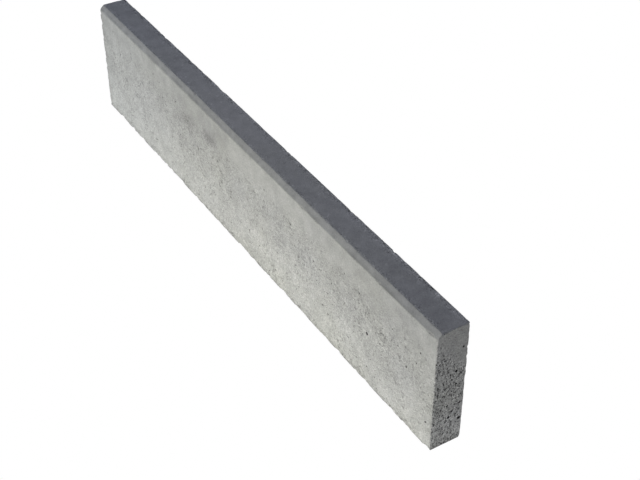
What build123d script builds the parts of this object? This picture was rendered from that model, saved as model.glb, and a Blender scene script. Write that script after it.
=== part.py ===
"""Straight garden kerb stone of plain concrete, pressed in one piece.

The stone stands on its narrow base as it does beside a path. Its front face carries a chamfer
along the top edge, and every other arris is eased a little, as the mould leaves it.

Frame: origin at the middle of the base, +X along the stone, -Y out of the front face, +Z up.
All sizes are in millimetres.
"""

import os

from build123d import *

# Stock size of the stone
LENGTH = 1000.0
THICKNESS = 50.0
HEIGHT = 200.0

# Chamfer along the top of the front face
CHAMFER_WIDTH = 7.5  # taken off the top face
CHAMFER_DROP = 7.5  # taken off the front face

# Eased edges
BACK_ARRIS_RADIUS = 3.0  # along the top of the back face, the roundest edge of the stone
ARRIS_RADIUS = 1.5  # along every other edge

FRONT = -THICKNESS / 2
BACK = THICKNESS / 2


def cross_section():
    """Outline across the stone: a rectangle with a cut front corner and a round back corner on top."""
    outline = Polyline(
        (FRONT, 0),
        (BACK, 0),
        (BACK, HEIGHT),
        (FRONT + CHAMFER_WIDTH, HEIGHT),
        (FRONT, HEIGHT - CHAMFER_DROP),
        close=True,
    )
    section = make_face(outline)
    back_top_corner = section.vertices().sort_by(Axis.Y)[-2:].sort_by(Axis.X)[-1]
    return fillet(back_top_corner, BACK_ARRIS_RADIUS)


def sharp_edges(stone):
    """The edges left to ease: both outlines of the ends, and the long ones away from the round corner."""
    round_corner = stone.faces().filter_by(GeomType.CYLINDER).edges()
    long_edges = stone.edges().filter_by(Axis.X)
    end_outlines = stone.faces().filter_by(Axis.X).edges()
    return end_outlines + [edge for edge in long_edges if edge not in round_corner]


def kerb_stone():
    """The section drawn out along the length, to both sides of the middle, with its edges eased."""
    stone = extrude(Plane.YZ * cross_section(), LENGTH / 2, both=True)
    return fillet(sharp_edges(stone), ARRIS_RADIUS)


os.makedirs("parts", exist_ok=True)
export_step(kerb_stone(), "parts/kerb_stone.step")
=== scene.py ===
"""Looks of a straight garden kerb stone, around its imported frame.

One piece stands for the stone: its section carried along the length, closed by a patch at each end,
then weathered. A band of fine facing mix runs along the top, and the coarser core mix below it shows
pinholes on the moulded faces and open pores on the ends. Lengths are in millimetres until a mesh or a
node takes them.
"""

import math

import bpy
import numpy as np
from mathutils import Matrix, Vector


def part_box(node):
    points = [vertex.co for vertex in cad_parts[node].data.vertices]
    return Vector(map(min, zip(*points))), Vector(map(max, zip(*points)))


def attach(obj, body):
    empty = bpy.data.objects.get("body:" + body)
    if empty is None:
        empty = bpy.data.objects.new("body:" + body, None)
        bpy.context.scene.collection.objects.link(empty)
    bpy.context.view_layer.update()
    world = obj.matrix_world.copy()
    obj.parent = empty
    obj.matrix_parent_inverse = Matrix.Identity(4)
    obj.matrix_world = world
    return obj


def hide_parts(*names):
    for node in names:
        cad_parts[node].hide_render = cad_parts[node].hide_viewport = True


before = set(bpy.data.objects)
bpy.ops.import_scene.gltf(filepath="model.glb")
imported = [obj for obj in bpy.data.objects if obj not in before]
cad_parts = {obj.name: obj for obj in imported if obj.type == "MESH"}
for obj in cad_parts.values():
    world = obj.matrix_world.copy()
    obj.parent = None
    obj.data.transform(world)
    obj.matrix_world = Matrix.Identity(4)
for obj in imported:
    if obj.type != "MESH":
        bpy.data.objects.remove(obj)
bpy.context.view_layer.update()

MM = 0.001
low, high = (np.array(corner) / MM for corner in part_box("kerb_stone"))
LEFT, RIGHT = low[0], high[0]
FRONT, BACK = low[1], high[1]
LENGTH = RIGHT - LEFT
HEIGHT = high[2] - low[2]

CHAMFER = 7.5
ARRIS = 1.5
FOOT_ARRIS = 0.5  # sharper than moulded, because the wear below takes off more
BACK_ARRIS = 3.0
END_ARRIS = 0.45  # a little under FOOT_ARRIS, so that no corner of the end closes to a point

# Corners of the section as (y, z), in order round it, and the radius that eases each
CORNERS = np.array([
    (FRONT, 0.0),
    (BACK, 0.0),
    (BACK, HEIGHT),
    (FRONT + CHAMFER, HEIGHT),
    (FRONT, HEIGHT - CHAMFER),
])
RADII = np.array([FOOT_ARRIS, FOOT_ARRIS, BACK_ARRIS, ARRIS, ARRIS])

# Mesh steps: across the base and the top, up each side, along half the length, and round an end's arris
ACROSS, UPWARD, HALF_ALONG, ROUND_STEPS = 34, 84, 190, 4
# Points on the arc of a corner, and on a line from which the mesh steps are picked
ARC_POINTS, FINE_POINTS = 25, 6000

# Top band of fine facing mix: its mean lower edge, how far that wanders, and the height over which it blends
# into the core mix. On the ends the edge lies lower, falls by END_LEAN per millimetre to the back, and blends
# over less
FACING_EDGE, FACING_WANDER, FACING_BLEND = 166.0, 9.0, 34.0
END_DROP, END_LEAN, END_BLEND = 7.0, 1.0, 10.0


# Noise and curves

# What makes the lattice's numbers look random: a way through it, a step per seed, and a height for the sine
SCATTER_WAY = np.array([127.1, 311.7, 74.7])
SCATTER_SEED_STEP, SCATTER_HEIGHT = 17.3, 43758.5453
LAYER_SEED_STEP = 31
PIT_SEED, SPECK_SEED = 7, 19


def scatter(cells, seed):
    """A fixed random number from -1 to 1 for each lattice cell: twice the fraction of a large multiple of a
    sine, less one."""
    value = np.sin(cells @ SCATTER_WAY + SCATTER_SEED_STEP * seed) * SCATTER_HEIGHT
    return 2 * (value - np.floor(value)) - 1


def lattice_noise(points, size, seed):
    """Smooth noise from -1 to 1: one random number at each corner of a cubic lattice of this size,
    blended across each cube by the curve 6t^5 - 15t^4 + 10t^3."""
    place = points / size
    cell = np.floor(place)
    part = place - cell
    ease = part**3 * (part * (part * 6 - 15) + 10)
    total = np.zeros(len(points))
    for step in np.ndindex(2, 2, 2):
        weight = np.where(step, ease, 1 - ease).prod(axis=1)
        total += weight * scatter(cell + step, seed)
    return total


def layered_noise(points, size, seed, layers=3):
    """Lattice noise in layers, each half the size and half the height of the one before."""
    heights = 0.5 ** np.arange(layers)
    seeds = seed + LAYER_SEED_STEP * np.arange(layers)
    parts = [h * lattice_noise(points, size * h, s) for h, s in zip(heights, seeds)]
    return sum(parts) / heights.sum()


def smooth(value, start, end):
    """0 before start, 1 after end, and the curve 3t^2 - 2t^3 between."""
    t = np.clip((value - start) / (end - start), 0, 1)
    return t * t * (3 - 2 * t)


def bell(value, middle, reach):
    """1 in the middle, falling off to both sides as exp(-(gap / reach)^2)."""
    return np.exp(-(((value - middle) / reach) ** 2))


def nearness(gap, start, reach):
    """1 up to a gap of start, and then falling off as exp(-(gap - start) / reach)."""
    return np.exp(-np.maximum(gap - start, 0) / reach)


# Shape

def section_arcs():
    """The rounded section as (y, z, normal y, normal z) rows. At each corner an arc of its radius touches
    both sides: its centre lies a tangent length back along the side that arrives, and one radius in."""
    leave = np.roll(CORNERS, -1, 0) - CORNERS
    leave /= np.linalg.norm(leave, axis=1, keepdims=True)
    arrive = np.roll(leave, 1, 0)
    turn = np.arctan2(arrive[:, 0] * leave[:, 1] - arrive[:, 1] * leave[:, 0], (arrive * leave).sum(1))
    outward = np.stack([arrive[:, 1], -arrive[:, 0]], 1)
    tangent = RADII * np.tan(turn / 2)
    centre = CORNERS - arrive * tangent[:, None] - outward * RADII[:, None]
    share = np.linspace(0, 1, ARC_POINTS)
    angle = np.arctan2(outward[:, 1], outward[:, 0])[:, None] + turn[:, None] * share
    normal = np.stack([np.cos(angle), np.sin(angle)], -1)
    place = centre[:, None] + RADII[:, None, None] * normal
    return np.concatenate([place, normal], -1).reshape(-1, 4)


def uneven_steps(fine, gap, count):
    """Places that part a line into count steps, about five times as close beside an arris as on an open
    face: equal steps of the summed density 1 + 4 exp(-(gap / 4)^2), with the gap to the nearest arris."""
    density = np.cumsum(1 + 4 * bell(gap, 0, 4))
    return np.interp(np.linspace(density[0], density[-1], count + 1), density, fine)


def dealt_out(line, count):
    """count uneven steps along a line of section rows, closest beside the section's corners."""
    length = np.append(0, np.cumsum(np.linalg.norm(np.diff(line[:, :2], axis=0), axis=1)))
    fine = np.linspace(0, length[-1], FINE_POINTS)
    place = np.stack([np.interp(fine, length, line[:, k]) for k in (0, 1)], -1)
    gap = np.linalg.norm(place[:, None] - CORNERS, axis=-1).min(1)
    pick = uneven_steps(fine, gap, count)
    rows = np.stack([np.interp(pick, length, line[:, k]) for k in range(4)], -1)
    rows[:, 2:] /= np.linalg.norm(rows[:, 2:], axis=1, keepdims=True)
    return rows


def section():
    """Closed outline of the section, from the middle of one corner's arc to the next: along the base, up
    the back, over the top and the chamfer, and down the front."""
    arcs = section_arcs()
    middles = ARC_POINTS // 2 + ARC_POINTS * np.array([0, 1, 2, 4, 5])
    spans = [range(first, last + 1) for first, last in zip(middles, middles[1:])]
    lines = [arcs.take(span, axis=0, mode="wrap") for span in spans]
    counts = (ACROSS, UPWARD, ACROSS, UPWARD)
    return np.concatenate([dealt_out(line, count)[:-1] for line, count in zip(lines, counts)])


def stations():
    """Places along the stone as (x, inset, tilt) rows: a quarter round at each end, where the outline
    draws in by END_ARRIS (1 - sin t) as x goes END_ARRIS (1 - cos t) from the end, and a plain run."""
    turn = np.linspace(0, np.pi / 2, ROUND_STEPS + 1)
    rounded = np.stack([END_ARRIS * (1 - np.cos(turn)), END_ARRIS * (1 - np.sin(turn)), turn], 1)
    fine = np.linspace(END_ARRIS, LENGTH / 2, FINE_POINTS)
    run = uneven_steps(fine, fine, HALF_ALONG)[1:]
    straight = np.stack([run, np.zeros_like(run), np.full_like(run, np.pi / 2)], 1)
    half = np.concatenate([rounded, straight])
    other = half[-2::-1] * (-1, 1, 1)
    half[:, 0] += LEFT
    other[:, 0] += RIGHT
    return np.concatenate([half, other])


def end_patch(outline):
    """Inner points of an end, as (y, z) rows by columns: a patch blended from its four border lines, base
    to top plus front to back, less the blend of its four corners."""
    base, back, top, front = np.split(outline, [ACROSS, ACROSS + UPWARD, 2 * ACROSS + UPWARD])
    base = np.concatenate([base, back[:1]])
    back = np.concatenate([back, top[:1]])
    top = np.concatenate([top, front[:1]])[::-1]
    front = np.concatenate([front, base[:1]])[::-1]
    u = np.linspace(0, 1, ACROSS + 1)[None, :, None]
    v = np.linspace(0, 1, UPWARD + 1)[:, None, None]
    ruled = (1 - v) * base + v * top + (1 - u) * front[:, None] + u * back[:, None]
    corners = (1 - v) * ((1 - u) * base[0] + u * base[-1]) + v * ((1 - u) * top[0] + u * top[-1])
    return (ruled - corners)[1:-1, 1:-1]


def end_faces(ring, first_inner):
    """Quads of an end: its grid of vertex numbers has the ring of the last section as border and the
    patch's own vertices inside."""
    grid = np.empty((UPWARD + 1, ACROSS + 1), int)
    grid[1:-1, 1:-1] = first_inner + np.arange((UPWARD - 1) * (ACROSS - 1)).reshape(UPWARD - 1, ACROSS - 1)
    ring = np.append(ring, ring[0])
    grid[0] = ring[:ACROSS + 1]
    grid[:, -1] = ring[ACROSS:ACROSS + UPWARD + 1]
    grid[-1] = ring[ACROSS + UPWARD:2 * ACROSS + UPWARD + 1][::-1]
    grid[:, 0] = ring[2 * ACROSS + UPWARD:][::-1]
    return np.stack([grid[:-1, :-1], grid[:-1, 1:], grid[1:, 1:], grid[1:, :-1]], -1).reshape(-1, 4)


def plain_stone():
    """Points, normals and quads of the stone as moulded: the section at every station, and both ends."""
    outline = section()
    places = stations()
    x, inset, tilt = (column[:, None] for column in places.T)
    y, z, normal_y, normal_z = outline.T
    side = np.where(np.arange(len(places)) < len(places) / 2, -1, 1)[:, None]
    along = np.broadcast_to(x, (len(places), len(outline)))
    body = np.stack([along, y - inset * normal_y, z - inset * normal_z], -1)
    lean = np.broadcast_to(side * np.cos(tilt), along.shape)
    facing = np.stack([lean, np.sin(tilt) * normal_y, np.sin(tilt) * normal_z], -1)
    number = np.arange(along.size).reshape(along.shape)
    after = np.roll(number, -1, 1)
    walls = np.stack([number[:-1], after[:-1], after[1:], number[1:]], -1).reshape(-1, 4)
    patch = end_patch(body[0, :, 1:]).reshape(-1, 2)
    ends = [np.insert(patch, 0, place, axis=1) for place in (LEFT, RIGHT)]
    looks = [np.tile((way, 0.0, 0.0), (len(patch), 1)) for way in (-1.0, 1.0)]
    left_faces = end_faces(number[0], along.size)[:, ::-1]
    right_faces = end_faces(number[-1], along.size + len(patch))
    points = np.concatenate([body.reshape(-1, 3), *ends])
    normals = np.concatenate([facing.reshape(-1, 3), *looks])
    return points, normals, np.concatenate([walls, left_faces, right_faces])


# Wear of the arrises

FRONT_WAY, BACK_WAY, UP, DOWN = (0, -1, 0), (0, 1, 0), (0, 0, 1), (0, 0, -1)
LEFT_WAY, RIGHT_WAY = (-1, 0, 0), (1, 0, 0)
SIN_45 = math.sqrt(0.5)
SLOPE = (0, -SIN_45, SIN_45)
HALF_RIGHT = (0.4, 0, 0)  # leans a worn arris over to the front face
BACK_AND_LEFT = (-0.001, 1, 0)  # wears the left part of the back arris a little more
COS_22, SIN_22 = 0.924, 0.383  # of 22.5 degrees, half the turn from the chamfer to a face beside it

# Each arris: a point on its sharp edge, the two faces that meet there, and the least and most that is
# broken away, measured in from the sharp edge
ARRISES = [
    ((0, FRONT, 0), FRONT_WAY, DOWN, 0.0, 2.0),
    ((0, BACK, 0), BACK_WAY, DOWN, 0.0, 2.2),
    ((0, BACK, HEIGHT), BACK_AND_LEFT, UP, 1.4, 2.6),
    ((0, FRONT + CHAMFER, HEIGHT), SLOPE, UP, 0.0, 0.8),
    ((0, FRONT, HEIGHT - CHAMFER), SLOPE, FRONT_WAY, 0.0, 0.8),
    ((LEFT, FRONT, 0), LEFT_WAY, FRONT_WAY, 0.2, 1.5),
    ((LEFT, BACK, 0), LEFT_WAY, BACK_WAY, 0.4, 2.6),
    ((LEFT, 0, HEIGHT), LEFT_WAY, UP, 0.0, 0.2),
    ((LEFT, 0, 0), LEFT_WAY, DOWN, 0.3, 2.2),
    ((LEFT, FRONT, HEIGHT - CHAMFER), LEFT_WAY, SLOPE, 0.0, 0.3),
    ((RIGHT, FRONT, 0), HALF_RIGHT, FRONT_WAY, 0.8, 1.9),
    ((RIGHT, BACK, 0), RIGHT_WAY, BACK_WAY, 1.25, 3.0),
    ((RIGHT, 0, HEIGHT), RIGHT_WAY, UP, 0.0, 1.0),
    ((RIGHT, 0, 0), RIGHT_WAY, DOWN, 0.0, 0.3),
    ((RIGHT, FRONT, HEIGHT - CHAMFER), RIGHT_WAY, SLOPE, 0.2, 1.2),
]

# Single chips. Each row: an arris, with None for the axis that it runs along, the way in, and for each piece
# struck off it the place along the arris, half width and depth
CHIPS = [
    ((None, FRONT, 0), (0, 1, 1), [
        (-448, 9, 1.7), (-362, 8, 1.8), (-312, 6, 2.0), (-268, 6, 2.1), (-230, 14, 2.0), (-157, 4, 1.5),
        (-2, 14, 2.6), (37, 7, 2.1), (127, 14, 2.0), (176, 16, 1.8), (248, 9, 1.8), (494, 7, 3.6),
    ]),
    ((None, BACK, 0), (0, -1, 1), [(-402, 11, 2.3), (-120, 7, 2.0), (85, 16, 2.4), (310, 9, 2.2)]),
    ((None, BACK, HEIGHT), (0, -1, -1), [
        (-328, 4, 1.9), (-233, 3, 2.1), (-141, 4, 2.1), (104, 4, 2.0), (312, 3, 2.0), (392, 4, 2.0),
    ]),
    ((None, FRONT, HEIGHT - CHAMFER), (0, COS_22, -SIN_22), [
        (-305, 7, 0.7), (-60, 9, 0.7), (352, 6, 0.7), (395, 8, 0.6),
    ]),
    ((None, FRONT + CHAMFER, HEIGHT), (0, SIN_22, -COS_22), [
        (-404, 5, 0.7), (-330, 24, 0.4), (-90, 30, 0.4), (40, 28, 0.5), (120, 40, 0.6), (205, 36, 0.6),
        (286, 6, 0.8), (318, 22, 0.6), (346, 5, 0.7), (378, 7, 0.8), (430, 34, 0.6), (478, 16, 0.7),
    ]),
    ((LEFT, FRONT, None), (1, 1, 0), [
        (6, 6, 2.1), (49, 6, 1.5), (70, 6, 1.7), (83, 5, 2.0), (100, 5, 2.5), (109, 9, 2.0), (140, 6, 1.6),
        (168, 6, 3.9), (187, 4, 3.2),
    ]),
    ((RIGHT, FRONT, None), (-1, 1, 0), [
        (19, 4, 1.4), (46, 4, 1.6), (74, 4, 1.5), (93, 3, 1.3), (112, 5, 1.4), (131, 4, 1.6), (152, 5, 1.9),
        (167, 6, 1.8),
    ]),
    ((RIGHT, BACK, None), (-1, -1, 0), [
        (34, 6, 1.9), (66, 7, 2.2), (123, 7, 2.3), (143, 4, 2.6), (158, 10, 2.2), (198, 6, 2.6),
    ]),
    ((RIGHT, None, HEIGHT), (-1, 0, -1), [(-16, 3, 1.5), (-9, 5, 1.6), (19, 6, 1.8)]),
    ((LEFT, None, HEIGHT), (1, 0, -1), [(14, 4, 1.3)]),
]


def broken_arrises(points):
    """Breaks the arrises: across each one a rough plane square to its bisector cuts off what stands
    beyond it, at a depth that noise moves along the edge. The cut sets in softly, as half the sum of the
    overhang and the root of its square plus 0.06, and ends 6 mm inside the plane."""
    chips = 0.45 + 0.42 * lattice_noise(points, 13.0, seed=5) + 0.58 * lattice_noise(points, 5.5, seed=6)
    chips = np.clip(chips, 0, 1.2) ** 3
    for edge, first, second, least, most in ARRISES:
        bisector = np.add(first, second) / np.linalg.norm(np.add(first, second))
        over = (points - edge) @ bisector + least + (most - least) * chips
        cut = (over + np.sqrt(over**2 + 0.06)) / 2 * (over > -6)
        points = points - cut[:, None] * bisector
    return points


def struck_chips(points):
    """Scoops out each chip with a rough ball that is as wide as the chip at the edge and reaches in by its
    depth: a point inside the ball goes along the way in to the ball's far side, by the t that solves
    t^2 + 2bt + c = 0."""
    rough = 0.35 * lattice_noise(points, 5.0, seed=8)
    for line, way, places in CHIPS:
        way = np.array(way) / np.linalg.norm(way)
        for place, half_width, depth in places:
            edge = np.array([place if value is None else value for value in line])
            radius = (half_width**2 + depth**2) / (2 * depth)
            out = points - edge + (radius - depth) * way
            b = out @ way
            c = (out**2).sum(1) - (radius + depth * rough) ** 2
            points = points + np.where(c < 0, np.sqrt(np.maximum(b * b - c, 0)) - b, 0)[:, None] * way
    return points


# Pits and holes

# Single holes in the order in which they are made, as place and radius on the face: x, z on the front face,
# y, z on the right end and x, y on the top
FRONT_HOLES = [
    (349, 88, 2.6), (468, 147, 1.44), (487, 42, 1.52), (440, 101, 1.44), (151, 143, 1.44),
    (174, 127, 1.04), (213, 119, 1.36), (260, 112, 1.36), (292, 152, 1.12), (329, 144, 1.36),
    (318, 125, 1.04), (294, 101, 1.2), (380, 93, 1.2), (406, 140, 1.2), (236, 56, 1.44),
    (251, 50, 1.36), (262, 76, 1.04), (151, 16, 1.28), (103, 27, 1.36), (461, 124, 1.12),
    (420, 122, 1.12), (352, 127, 1.04), (187, 95, 1.12), (136, 79, 1.12), (220, 89, 1.12),
    (317, 67, 1.04), (400, 72, 1.04), (351, 30, 1.2), (370, 25, 1.2), (325, 27, 1.12),
    (310, 52, 1.04), (165, 34, 1.12), (445, 30, 1.12), (-31, 89, 1.28), (17, 92, 1.04),
    (76, 158, 1.12), (25, 51, 1.36), (55, 41, 1.28), (66, 80, 1.04), (52, 106, 1.04),
    (84, 119, 0.96), (85, 13, 1.36), (-35, 27, 1.2), (100, 65, 0.96), (-75, 16, 1.12),
    (-109, 51, 1.04), (-210, 157, 1.36), (-270, 162, 1.2), (-292, 167, 1.2), (-351, 119, 1.28),
    (-426, 139, 1.28), (-450, 172, 1.28), (-479, 141, 1.52), (-381, 162, 1.04), (-385, 146, 1.04),
    (-341, 155, 1.04), (-170, 142, 1.28), (-184, 139, 1.2), (-202, 99, 1.2), (-202, 80, 1.2),
    (-232, 57, 1.2), (-302, 34, 1.44), (-406, 15, 1.28), (-487, 42, 1.04), (-347, 91, 1.04),
    (-366, 14, 1.04), (-391, 42, 1.04), (-146, 13, 1.28), (-195, 39, 1.04), (-130, 112, 1.04),
    (-157, 86, 1.12), (-312, 139, 0.96), (-440, 107, 0.96), (-250, 130, 1.04),
]
RIGHT_HOLES = [
    (-10.6, 151.5, 1.4), (16.7, 163.7, 1.6), (9, 125.6, 2.2), (19.6, 37.2, 2.7), (2.3, 46.7, 2.2),
    (-20.5, 45.6, 1.4), (17.9, 65.9, 1.6), (4.5, 138.5, 1.2), (2.5, 113.5, 1.4), (-2, 69, 1.5),
    (-11.8, 67, 1.4), (-7.8, 55.8, 1.5), (-10.8, 114.4, 1.3), (-18.5, 149, 1.2), (-6.8, 102, 1.3),
    (-8.2, 89.5, 1.2), (4.1, 86.2, 1.2), (10.8, 103, 1.2),
]
TOP_HOLES = [
    (18, 11, 1.55), (172, 15, 1.36), (298, 10, 1.46), (330, 13, 1.27), (385, 5, 1.46),
    (62, 16, 1.27), (100, 17, 1.46), (124, 18, 1.46), (146, 16, 1.27), (238, 15, 1.27),
    (262, 17, 1.36), (361, 16, 1.27), (398, 17, 1.46), (436, 16, 1.46), (468, 13, 1.36),
    (-36, 17, 1.36), (-88, 18, 1.27), (-131, 16, 1.36), (-190, 17, 1.27), (-242, 16, 1.36),
    (-291, 17, 1.27), (-352, 16, 1.36), (-417, 17, 1.36), (-455, 15, 1.27), (70, -13.5, 1.2),
    (215, -13, 1.3), (302, -13.5, 1.2), (352, -13, 1.4), (410, -13.5, 1.3), (455, -13, 1.2),
    (-120, -13.5, 1.2), (-262, -13, 1.3), (-398, -13.5, 1.2),
]

# The hidden faces have the same kind of holes: the back those of the front turned upside down, and the
# left end those of the right end turned upside down and from its own side
TURNED = 186  # height of a hole plus that of the one turned upside down
HOLES = {
    "front": FRONT_HOLES,
    "back": [(x, TURNED - z, radius) for x, z, radius in FRONT_HOLES],
    "right": RIGHT_HOLES,
    "left": [(-y, TURNED - z, radius) for y, z, radius in RIGHT_HOLES],
    "top": TOP_HOLES,
}
# How dark a small and a wide hole of each face is painted, as the shade in it, and the radii at which
# they count as such
SHADE = {
    "front": (0.32, 0.92),
    "back": (0.32, 0.92),
    "right": (0.80, 0.95),
    "left": (0.80, 0.95),
    "top": (0.70, 0.95),
}
SMALL_HOLE, WIDE_HOLE = 1.0, 2.4


def open_face(points, normals):
    """How far each point lies from the nearest arris: on an end from the five lines of the outline, and
    elsewhere from the corners of the section and from the ends."""
    x, y, z = points.T
    slope = (y - FRONT + HEIGHT - z - CHAMFER) * SIN_45
    on_end = np.min([y - FRONT, BACK - y, z, HEIGHT - z, slope], 0)
    corner = np.linalg.norm(points[:, None, 1:] - CORNERS, axis=2).min(1)
    on_side = np.min([corner, x - LEFT, RIGHT - x], 0)
    return np.where(np.abs(normals[:, 0]) > 0.5, on_end, on_side)


def pitted(points, normals, core, rim):
    """Shifts the points by up to 0.7 mm each way within their face, so that no grid shows, and sinks some
    of them as pits where air stayed in the mix, up to 0.9 mm deep and 1.2 mm on the ends: in loose groups
    on the walls, all over the ends and along the rims. Beside an arris nothing moves. Also returns how
    dark each pit is painted, as the shade in it."""
    luck = np.random.default_rng(PIT_SEED).random((len(points), 5))
    free = smooth(open_face(points, normals), 2, 7)
    shift = (luck[:, :3] - 0.5) * 1.4 * free[:, None]
    shift -= (shift * normals).sum(1, keepdims=True) * normals
    end = normals[:, 0] ** 2
    groups = smooth(layered_noise(points, 34.0, seed=14, layers=2), -0.2, 0.6)
    share = free * (core * (0.02 * groups * (1 - end) + 0.10 * end) + 0.10 * rim)
    pit = (luck[:, 3] < share) * (0.35 + 0.65 * luck[:, 4])
    sink = pit * (0.9 + 0.3 * end)
    return points + shift - sink[:, None] * normals, pit * (0.20 + 0.45 * end + 0.30 * rim)


def open_grids(points):
    """Vertex numbers of five faces as grids, each with the axes of its width, its height and its depth, and
    the way in: front and back along the stone by height, right and left from front to back by height, and
    the top along the stone by depth."""
    inner = (UPWARD - 1) * (ACROSS - 1)
    body = len(points) - 2 * inner
    rings = np.arange(body).reshape(-1, 2 * (ACROSS + UPWARD))
    left, right = np.arange(body, len(points)).reshape(2, UPWARD - 1, ACROSS - 1)
    front, back = rings[:, :-UPWARD - 1:-1], rings[:, ACROSS:ACROSS + UPWARD]
    top = rings[:, ACROSS + UPWARD:2 * ACROSS + UPWARD]
    return {
        "front": (front, (0, 2, 1), 1),
        "back": (back, (0, 2, 1), -1),
        "right": (right.T, (1, 2, 0), -1),
        "left": (left.T, (1, 2, 0), 1),
        "top": (top, (0, 1, 2), -1),
    }


def holed(points, dark):
    """Makes the single holes and pores. Five by five points go to rings round the hole's place: the outer
    ring is its rim, the next the edge just inside it, and the middle its bottom, one and a half radii deep.
    Edge and bottom are painted dark as the shade in the hole, darker in a wider hole, because it goes
    deeper."""
    row, column = np.mgrid[-2:3, -2:3]
    ring = np.maximum(np.abs(row), np.abs(column))
    far = np.maximum(np.hypot(row, column), 1)
    reach = np.array([0, 0.85, 1])[ring]
    sink = np.array([1.5, 0.5, 0])[ring]
    shade = np.array([1, 1, 0])[ring]
    for face, (grid, (wide, tall, deep), inward) in open_grids(points).items():
        small_shade, wide_shade = SHADE[face]
        middle = grid[2:-2, 2:-2]
        for across, up, radius in HOLES[face]:
            gap = np.hypot(points[middle, wide] - across, points[middle, tall] - up)
            i, j = np.unravel_index(gap.argmin(), gap.shape)
            block = grid[i:i + 5, j:j + 5]
            points[block, wide] = across + radius * reach * row / far
            points[block, tall] = up + radius * reach * column / far
            points[block, deep] = points[block, deep].mean() + inward * radius * sink
            deeper = smooth(radius, SMALL_HOLE, WIDE_HOLE)
            dark[block] = shade * (small_shade + (wide_shade - small_shade) * deeper)
    return points, dark


# Tone of the skin

LEAN_LENGTH = 250.0  # what changes from left to right does so within this of the middle
MARKED_DEPTH = 6.0  # the marks of the front also cover the chamfer, to this far in

# Pale bloom, dark marks and some painted light and shade: place and half size on the face, and how much
# lighter or darker. Places are x, z on the front face, x, y on the top and y, z on the right end
FRONT_MARKS = [
    # Stains left of the middle
    (-92, 150, 20, 13, -0.24),
    (-104, 150, 11, 8, -0.12),
    (-173, 140, 30, 14, -0.07),
    (-165, 150, 70, 20, -0.08),
    (-185, 132, 60, 30, -0.05),
    (-200, 88, 24, 14, -0.07),
    (-130, 110, 120, 90, -0.05),
    (-65, 176, 40, 16, -0.06),
    # Stains right of the middle
    (35, 18, 34, 16, -0.14),
    (240, 54, 16, 9, -0.10),
    (330, 145, 20, 10, -0.06),
    (375, 168, 34, 24, -0.06),
    (400, 148, 40, 14, -0.05),
    # Bloom on the core mix
    (60, 40, 60, 24, 0.06),
    (-110, 42, 55, 26, 0.05),
    (190, 60, 45, 22, 0.06),
    (35, 88, 30, 18, 0.05),
    (75, 55, 30, 16, 0.05),
    (-25, 55, 30, 16, 0.05),
    (180, 100, 60, 80, 0.02),
    # Pale stretches of the facing mix
    (35, 168, 45, 22, 0.07),
    (150, 172, 90, 16, 0.05),
    (-340, 180, 110, 14, 0.03),
    # Painted light: paler at the right end, darker at the left, and painted shade down the left arris
    (490, 90, 34, 120, 0.05),
    (492, 10, 40, 45, 0.06),
    (-496, 90, 9, 300, -0.10),
    (-440, 90, 60, 120, -0.02),
    (-430, 38, 90, 48, -0.06),
    # A scrape on the chamfer, and dirt along its foot
    (346, 197, 7, 4, 0.12),
    (408, 192.4, 32, 1.8, -0.28),
    (312, 192.6, 20, 1.8, -0.24),
    (212, 192.5, 14, 1.8, -0.18),
]
TOP_MARKS = [
    (-75, 0, 90, 40, 0.05),
    (160, 0, 70, 40, -0.05),
    (-440, 0, 60, 40, -0.03),
    (285, 16, 60, 7, 0.05),
    (440, -8, 110, 24, -0.10),
]
END_MARKS = [
    (0, 60, 60, 9, -0.06),
    (0, 100, 60, 12, -0.04),
    (0, 80, 60, 9, -0.05),
    (0, 42, 60, 9, 0.03),
    (0, 18, 60, 9, 0.06),
]


def faces(normals):
    """How far each point belongs to an end, a wall, the top, the base and the chamfer: the squares of its
    normal's parts, and for the chamfer four times the product of wall and top."""
    end, wall = normals[:, 0] ** 2, normals[:, 1] ** 2
    top, base = (np.clip(way * normals[:, 2], 0, 1) ** 2 for way in (1, -1))
    return end, wall, top, base, 4 * wall * top


def spots(across, up, marks):
    """Sum of soft spots: each is its change times exp(-r^2), with r = 1 at its half sizes."""
    parts = [change * bell(across, u, wide) * bell(up, v, tall) for u, v, wide, tall, change in marks]
    return sum(parts)


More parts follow.
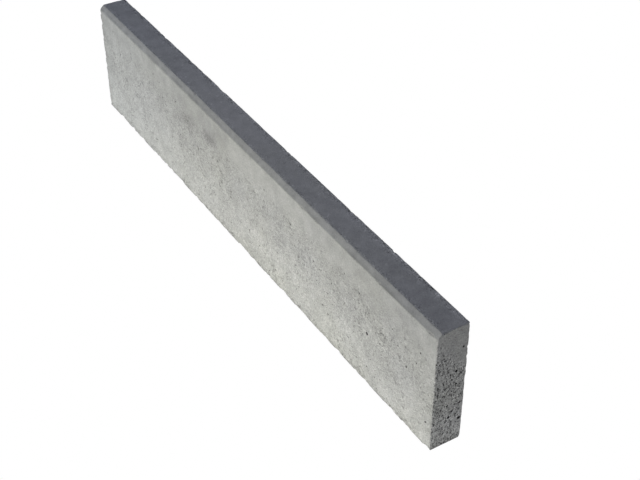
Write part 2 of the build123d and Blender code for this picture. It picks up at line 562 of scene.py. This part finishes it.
def cloudiness(points, normals, core):
    """How much lighter or darker than its mean each point is. Noise gives slow clouds, and pale bloom low
    on the walls. The core mix is darker from mid height up, partly its own tone and partly painted shade
    where less of the floor's light reaches. The facing mix is darker on the ends, and on the walls paler to
    the right, as painted light. The ends are paler low down, painted light from the floor below, but dark
    at the foot. The chamfer is painted paler as light, more so to the left, with dark dust near its foot,
    along its head and just below it, less of it to the right. The marks come on top."""
    x, y, z = points.T
    end, wall, top, _, slope = faces(normals)
    lean = np.clip(x / LEAN_LENGTH, -1, 1)
    foot = HEIGHT - CHAMFER
    bloom = smooth(layered_noise(points, 60.0, seed=21), 0.0, 0.6) * smooth(z, 130, 50)
    # Core mix darker from mid height up: partly its own tone, partly painted shade where less floor light
    # reaches
    core_tone = 0.022 - 0.03 * smooth(z, 50, 85)
    # Painted light: the facing mix on the walls is paler to the right
    facing_tone = 0.025 * lean - 0.01
    tone = 0.09 * layered_noise(points, 45.0, seed=22)
    tone += wall * (0.08 * bloom + core * core_tone + (1 - core) * facing_tone)
    # Painted light from the floor below: the ends, and the base, paler low down
    tone += 0.20 * smooth(z, 85, 15) * (1 - wall)
    tone += end * (0.10 + 0.09 * smooth(z, 140, 90) - 0.13 * (1 - core) - 0.20 * smooth(z, 6, 1))
    dust = bell(z, foot + 2.0, 1.6) * (0.11 + 0.09 * lattice_noise(points, 8.0, seed=24))
    head = 0.10 * smooth(z, HEIGHT - 4.5, HEIGHT - 1.0)
    # Painted light: the whole chamfer is made paler, more so to the left, before its dust and dark head
    tone += slope * (0.07 - 0.05 * lean - (1 - 0.5 * lean) * (dust + head))
    below = bell(z, foot - 0.5, 1.5) * wall * (1 - top)
    tone -= below * (0.05 - 0.04 * lean + 0.10 * lattice_noise(points, 11.0, seed=25))
    tone += (y < FRONT + MARKED_DEPTH) * spots(x, z, FRONT_MARKS)
    tone += top * spots(x, y, TOP_MARKS) + end * (x > 0) * spots(y, z, END_MARKS)
    return tone


def rim_specks(points, arris, rim, top):
    """Dark and light grains laid bare along the broken arrises and the rims: the cube of a random number
    from -1 to 1, so that few are strong, and on the rims also noise of a grain's size, 3.5 mm. On the top,
    one point in a hundred is a light speck."""
    luck = np.random.default_rng(SPECK_SEED).uniform(-1, 1, len(points))
    grains = 0.30 * luck**3 * (arris + rim) + 0.16 * lattice_noise(points, 3.5, seed=23) * rim
    return grains + 0.28 * top**4 * (luck > 0.98)


# Weathered stone

# Relief of the faces: height and size of the slow unevenness, and of the fine skin that the facing mix has,
# with what the core mix adds to that on the walls and on the ends
SLOW_RELIEF, SLOW_SIZE = 0.12, 110.0
FINE_RELIEF, FINE_SIZE, WALL_RELIEF, END_RELIEF = 0.05, 7.0, 0.08, 0.14

# Rims where grains come loose: how far in from its face each starts to fade, and over what length
BACK_RIM, FRONT_RIM, FOOT_RIM = (3.5, 3.8), (CHAMFER, 3.0), (2.0, 5.0)


def core_mix(points, end):
    """0 on the facing mix and 1 on the core mix below it: how far a point lies under the edge of the
    facing, as a share of the height over which the two blend."""
    edge = FACING_EDGE + FACING_WANDER * layered_noise(points, 70.0, seed=11)
    edge -= end * (END_DROP + END_LEAN * points[:, 1])
    return smooth((edge - points[:, 2]) / (END_BLEND * end + FACING_BLEND * (1 - end)), -0.25, 1)


def rims(points, normals):
    """How far each point belongs to a rim: those along the back and the front of the top, and the foot of
    the walls."""
    _, y, z = points.T
    _, wall, top, _, slope = faces(normals)
    back = top * nearness(BACK - y, *BACK_RIM)
    front = top * (1 - slope) * nearness(y - FRONT, *FRONT_RIM)
    foot = wall * nearness(z, *FOOT_RIM)
    return np.clip(back + 0.6 * front + 0.45 * foot, 0, 1)


def calmness(points):
    """How much of the core mix's mottling and pinholes the walls show by place: less on the left half, less
    still at its far end, and less on the upper right."""
    x, _, z = points.T
    upper_right = smooth(x, 220, 330) * smooth(z, 112, 135)
    return 1 - 0.16 * smooth(x, 50, -50) - 0.30 * smooth(x, -330, -430) - 0.25 * upper_right


def weathered(moulded, normals):
    """The moulded stone with the relief that pressing and handling leave, all of it inwards: a slow
    unevenness of the faces, a coarser skin on the core mix, pits, holes, broken arrises and chips. Returns
    the points, the values per point that the material reads, and which points lie in a pit or hole."""
    end, wall, top, base, slope = faces(normals)
    core = core_mix(moulded, end)
    rim = rims(moulded, normals)
    slow = SLOW_RELIEF * (1 + layered_noise(moulded, SLOW_SIZE, seed=1)) * (1 - base)
    skin = FINE_RELIEF + core * (WALL_RELIEF * wall + END_RELIEF * end)
    fine = skin * (1 + layered_noise(moulded, FINE_SIZE, seed=2, layers=2))
    whole, dark = pitted(moulded - (slow + fine)[:, None] * normals, normals, core, rim)
    whole, dark = holed(whole, dark)
    points = struck_chips(broken_arrises(whole))
    arris = smooth(np.linalg.norm(points - whole, axis=1), 0.15, 1.0)

    calm = calmness(moulded)
    patch = 0.35 + 1.05 * smooth(layered_noise(points, 48.0, seed=15), -0.4, 0.4)
    pinned = core * patch * calm * (1 - end)
    mottled = 0.42 * pinned + 0.12 * core * end
    porous = np.clip(core * (0.27 * wall + end + base) + 0.24 * arris, 0, 1)
    sand = (0.34 + 0.36 * core * calm) * wall + (0.7 + 0.7 * core) * end
    sand += 0.26 * top + 1.8 * base - 0.08 * slope
    sand = np.clip(sand + 0.80 * arris * (1 - 0.6 * slope) + 1.60 * rim, 0, 3.3)
    tone = (1 + cloudiness(points, normals, core)) * (1 - dark) - 1 + rim_specks(points, arris, rim, top)
    values = {"mottled": mottled, "pinned": pinned, "porous": porous, "sand": sand, "tone": tone}
    return points, values, dark > 0


def make_mesh(name, points, quads, values, rough):
    """A mesh in metres from points, quads and values per point. It is shaded smooth, apart from the two
    rounds of quads about each rough point, so that no shading spreads out of a pit."""
    mesh = bpy.data.meshes.new(name)
    mesh.vertices.add(len(points))
    mesh.vertices.foreach_set("co", (points * MM).astype(np.float32).ravel())
    mesh.loops.add(quads.size)
    mesh.loops.foreach_set("vertex_index", quads.astype(np.int32).ravel())
    mesh.polygons.add(len(quads))
    mesh.polygons.foreach_set("loop_start", np.arange(0, quads.size, quads.shape[1], dtype=np.int32))
    mesh.update(calc_edges=True)
    mesh.validate()
    near = np.zeros(len(points), bool)
    near[quads[rough[quads].any(1)]] = True
    mesh.polygons.foreach_set("use_smooth", ~near[quads].any(1))
    for key, value in values.items():
        layer = mesh.attributes.new(key, "FLOAT", "POINT")
        layer.data.foreach_set("value", value.astype(np.float32))
    made = bpy.data.objects.new(name, mesh)
    bpy.context.scene.collection.objects.link(made)
    return made


# Materials

def linear(hex_colour):
    """Linear RGBA of an sRGB hex colour."""
    parts = [int(hex_colour[k:k + 2], 16) / 255 for k in (1, 3, 5)]
    return [c / 12.92 if c <= 0.04045 else ((c + 0.055) / 1.055) ** 2.4 for c in parts] + [1.0]


def per_metre(size):
    """Scale of a pattern whose feature is this many millimetres."""
    return 1000.0 / size


def node(tree, kind, inputs=None, **settings):
    """Adds a node with its settings; inputs gives its sockets a value each, or an output to link."""
    made = tree.nodes.new("ShaderNode" + kind)
    for key, value in settings.items():
        setattr(made, key, value)
    for key, value in (inputs or {}).items():
        if isinstance(value, bpy.types.NodeSocket):
            tree.links.new(value, made.inputs[key])
        else:
            made.inputs[key].default_value = value
    return made.outputs


def pressed_concrete():
    """Dry-pressed concrete, unsealed: a matt grey cement skin over sand. It gives the eye a sandy speckle,
    soft mottling, pinholes where air stayed against the mould, dark open pores where the core mix meets
    the end plates, and slow clouds of paler lime bloom."""
    material = bpy.data.materials.new("dry_pressed_grey_concrete")
    material.use_nodes = True
    tree = material.node_tree
    tree.nodes.clear()
    place = node(tree, "TexCoord")["Object"]
    mottled = node(tree, "Attribute", attribute_name="mottled")["Fac"]
    pinned = node(tree, "Attribute", attribute_name="pinned")["Fac"]
    porous = node(tree, "Attribute", attribute_name="porous")["Fac"]
    sand = node(tree, "Attribute", attribute_name="sand")["Fac"]
    tone = node(tree, "Attribute", attribute_name="tone")["Fac"]

    # Sand, each grain of its own grey, few of them far from the mean. Most of it is under 1 mm; drawn at
    # 1.4 mm so that it shows
    grains = node(tree, "TexVoronoi", {"Vector": place, "Scale": per_metre(1.4)})
    grey = node(tree, "SeparateColor", {"Color": grains["Color"]})
    speckle = node(tree, "Math", {0: grey["Red"], 1: 0.5}, operation="SUBTRACT")[0]
    rare = node(tree, "Math", {0: speckle, 1: 3.0}, operation="POWER")[0]
    speckle = node(tree, "Math", {0: rare, 1: 4.0}, operation="MULTIPLY")[0]
    speckle = node(tree, "Math", {0: speckle, 1: sand}, operation="MULTIPLY")[0]

    # Mottling of the skin over coarser grains of about 4 to 5 mm
    mottle = node(tree, "TexNoise", {"Vector": place, "Scale": per_metre(4.8), "Detail": 2.0,
                                     "Roughness": 0.55})["Fac"]
    depth = node(tree, "MapRange", {"Value": mottled, "To Min": 0.17, "To Max": 1.2})["Result"]
    mottle_tone = node(tree, "Math", {0: mottle, 1: 0.5}, operation="SUBTRACT")[0]
    mottle_tone = node(tree, "Math", {0: mottle_tone, 1: depth, 2: speckle}, operation="MULTIPLY_ADD")[0]

    # Pinholes of the moulded walls, 1 to 3 mm wide, in loose groups 40 mm across
    group = node(tree, "TexNoise", {"Vector": place, "Scale": per_metre(40.0), "Detail": 1.0})["Fac"]
    pin = node(tree, "TexNoise", {"Vector": place, "Scale": per_metre(5.5), "Detail": 1.0})["Fac"]
    pin = node(tree, "Math", {0: group, 1: 0.35, 2: pin}, operation="MULTIPLY_ADD")[0]
    pinhole = node(tree, "MapRange", {"Value": pin, "From Min": 0.82, "From Max": 0.95},
                   interpolation_type="SMOOTHSTEP")["Result"]
    pinhole = node(tree, "Math", {0: pinhole, 1: pinned}, operation="MULTIPLY")[0]

    # Open pores of the ends, up to about 1.5 mm wide and 4 mm tall, because the mix is pressed downwards.
    # Their coordinates are crooked, so that none is round. A pore's size goes by the blue of its cell: the
    # red goes with the place of the cell's point along the stone, so the two ends would differ
    crook = node(tree, "TexNoise", {"Vector": place, "Scale": per_metre(2.4), "Detail": 1.0})["Color"]
    crook = node(tree, "VectorMath", {0: crook, 1: (0.5, 0.5, 0.5)}, operation="SUBTRACT")[0]
    bent = node(tree, "VectorMath", {0: crook, 1: (1 * MM, 1 * MM, 3 * MM), 2: place},
                operation="MULTIPLY_ADD")[0]
    upright = node(tree, "VectorMath", {0: bent, 1: (1.0, 1.8, 0.62)}, operation="MULTIPLY")[0]
    pore = node(tree, "TexVoronoi", {"Vector": upright, "Scale": per_metre(2.3)})
    chance = node(tree, "SeparateColor", {"Color": pore["Color"]})["Blue"]
    radius = node(tree, "MapRange", {"Value": chance, "From Min": 0.17, "To Min": 0.0,
                                     "To Max": 0.58})["Result"]
    radius = node(tree, "Math", {0: radius, 1: porous}, operation="MULTIPLY")[0]
    gap = node(tree, "Math", {0: radius, 1: pore["Distance"]}, operation="SUBTRACT")[0]
    open_pore = node(tree, "MapRange", {"Value": gap, "From Min": -0.08, "From Max": 0.12},
                     interpolation_type="SMOOTHSTEP")["Result"]
    hollow = node(tree, "Math", {0: pinhole, 1: open_pore}, operation="MAXIMUM")[0]

    # Clouds in the cement skin, 18 mm
    cloud = node(tree, "TexNoise", {"Vector": place, "Scale": per_metre(18.0), "Detail": 1.0})["Fac"]
    cloud_tone = node(tree, "MapRange", {"Value": cloud, "From Min": 0.25, "From Max": 0.75,
                                         "To Min": -0.09, "To Max": 0.09})["Result"]

    # Lightness: one plus the tones, dimmed in pinholes and pores by painted shade, and never quite black
    light = node(tree, "Math", {0: mottle_tone, 1: cloud_tone}, operation="ADD")[0]
    light = node(tree, "Math", {0: light, 1: tone}, operation="ADD")[0]
    light = node(tree, "Math", {0: light, 1: 1.0}, operation="ADD")[0]
    pin_shade = node(tree, "MapRange", {"Value": pinhole, "To Min": 1.0, "To Max": 0.78})["Result"]
    pore_shade = node(tree, "MapRange", {"Value": open_pore, "To Min": 1.0, "To Max": 0.24})["Result"]
    light = node(tree, "Math", {0: light, 1: pin_shade}, operation="MULTIPLY")[0]
    light = node(tree, "Math", {0: light, 1: pore_shade}, operation="MULTIPLY")[0]
    light = node(tree, "Math", {0: light, 1: 0.12}, operation="MAXIMUM")[0]

    # Cool cement grey, warmer where lime bloom dries on it, in patches of 80 mm, and cooler towards the left
    # end
    warmth = node(tree, "TexNoise", {"Vector": place, "Scale": per_metre(80.0), "Detail": 2.0})["Fac"]
    hue = node(tree, "Mix", {0: warmth, 6: linear("#A5A5A4"), 7: linear("#A7A7A1")}, data_type="RGBA")[2]
    along = node(tree, "SeparateXYZ", {"Vector": place})["X"]
    cool = node(tree, "MapRange", {"Value": along, "From Min": -60 * MM, "From Max": -450 * MM,
                                   "To Max": 0.65})["Result"]
    hue = node(tree, "Mix", {0: cool, 6: hue, 7: linear("#A4A6A7")}, data_type="RGBA")[2]
    colour = node(tree, "VectorMath", {0: hue, "Scale": light}, operation="SCALE")[0]

    # Fine relief: domes of sand over the mottling, and sunk pinholes and pores
    roughness = node(tree, "MapRange", {"Value": mottle, "To Min": 0.82, "To Max": 0.98})["Result"]
    relief = node(tree, "Math", {0: sand, 1: 0.8}, operation="MINIMUM")[0]
    domes = node(tree, "Math", {0: grains["Distance"], 1: relief}, operation="MULTIPLY")[0]
    height = node(tree, "Math", {0: mottle, 1: depth}, operation="MULTIPLY")[0]
    height = node(tree, "Math", {0: height, 1: domes}, operation="SUBTRACT")[0]
    sandy = node(tree, "Bump", {"Height": height, "Strength": 0.6, "Distance": 1.2 * MM})["Normal"]
    sunk = node(tree, "Bump", {"Height": hollow, "Strength": 0.7, "Distance": 1.2 * MM, "Normal": sandy},
                invert=True)["Normal"]
    shader = node(tree, "BsdfPrincipled", {"Base Color": colour, "Roughness": roughness, "IOR": 1.5,
                                           "Specular IOR Level": 0.35, "Normal": sunk})["BSDF"]
    node(tree, "OutputMaterial", {"Surface": shader})
    return material


def studio_floor_white():
    """Matt white studio floor that also glows, as lit paper does. The eye sees it plain white all round."""
    material = bpy.data.materials.new("matt_white_studio_floor")
    material.use_nodes = True
    tree = material.node_tree
    tree.nodes.clear()
    paper = node(tree, "BsdfPrincipled", {"Base Color": linear("#E6E6E4"), "Roughness": 1.0,
                                          "Specular IOR Level": 0.0, "Emission Color": linear("#FFFFFF"),
                                          "Emission Strength": 0.69})["BSDF"]
    white = node(tree, "Emission", {"Color": linear("#FFFFFF"), "Strength": 1.0})["Emission"]
    seen = node(tree, "LightPath")["Is Camera Ray"]
    floor_look = node(tree, "MixShader", {0: seen, 1: paper, 2: white})["Shader"]
    node(tree, "OutputMaterial", {"Surface": floor_look})
    return material


# Kerb stone

points, normals, quads = plain_stone()
points, values, hollow = weathered(points, normals)
stone = make_mesh("concrete_kerb_stone", points, quads, values, hollow)
stone.data.materials.append(pressed_concrete())
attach(stone, "root")
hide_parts("kerb_stone")


# Floor, a disc just under the base

FLOOR_RADIUS, FLOOR_DEPTH, FLOOR_SIDES = 30000.0, 0.3, 96

turn = np.linspace(0, 2 * np.pi, FLOOR_SIDES + 1)[:-1]
ring = np.stack([np.cos(turn), np.sin(turn), 0 * turn], 1) * FLOOR_RADIUS - (0, 0, FLOOR_DEPTH)
floor_mesh = bpy.data.meshes.new("studio_floor")
floor_mesh.from_pydata((ring * MM).tolist(), [], [list(range(len(ring)))])
floor = bpy.data.objects.new("studio_floor", floor_mesh)
bpy.context.scene.collection.objects.link(floor)
floor_mesh.materials.append(studio_floor_white())


# Light

def soft_light(name, place, turned, size, power, hex_colour):
    """A rectangular soft light: its place in metres, its turn from facing down in degrees about X, Y and Z,
    its two sides in metres, its power in watts and its colour."""
    lamp = bpy.data.lights.new(name, "AREA")
    lamp.shape = "RECTANGLE"
    lamp.size, lamp.size_y = size
    lamp.energy = power
    lamp.color = linear(hex_colour)[:3]
    made = bpy.data.objects.new(name, lamp)
    made.location = place
    made.rotation_euler = [math.radians(angle) for angle in turned]
    made.visible_camera = False
    bpy.context.scene.collection.objects.link(made)


soft_light("overhead_softbox", (0.05, 0.3, 2.6), (0, 0, 0), (2.4, 1.6), 31.0, "#E7EBFE")
soft_light("floor_glow", (-0.12, -0.115, 0.0005), (180, 0, 0), (1.26, 0.17), 0.61, "#FFFFFA")
soft_light("rear_softbox", (-0.5, 3.2, 0.25), (-84, 0, 0), (2.2, 0.5), 9.0, "#FFFFFA")
soft_light("front_softbox", (-0.2, -3.2, 0.35), (84, 0, -4), (2.6, 0.7), 55.0, "#FFFFFA")

# The air lights nothing; the eye sees it white above the floor's far edge
scene = bpy.context.scene
world = bpy.data.worlds.new("studio_air")
world.use_nodes = True
air = world.node_tree.nodes["Background"].inputs
air["Color"].default_value = linear("#FFFFFF")
seen = node(world.node_tree, "LightPath")["Is Camera Ray"]
world.node_tree.links.new(seen, air["Strength"])
scene.world = world
scene.view_settings.view_transform = "Standard"
scene.view_settings.gamma = 0.9  # the photograph's harder tone curve


# Camera, fitted to the stone's edges in the photograph

FOCAL_PIXELS, WIDTH_PIXELS = 1246.95, 640
SENSOR_WIDTH = 36.0
CAMERA_PLACE = (1.3688, -0.7266, 1.2077)  # metres
CAMERA_DOWN, CAMERA_TURN = 37.867, 58.355  # degrees below level, and about the upright from facing the front

camera_data = bpy.data.cameras.new("camera")
camera_data.sensor_width = SENSOR_WIDTH
camera_data.lens = SENSOR_WIDTH * FOCAL_PIXELS / WIDTH_PIXELS
camera = bpy.data.objects.new("camera", camera_data)
camera.location = CAMERA_PLACE
camera.rotation_euler = (math.radians(90 - CAMERA_DOWN), 0, math.radians(CAMERA_TURN))
scene.collection.objects.link(camera)
scene.camera = camera
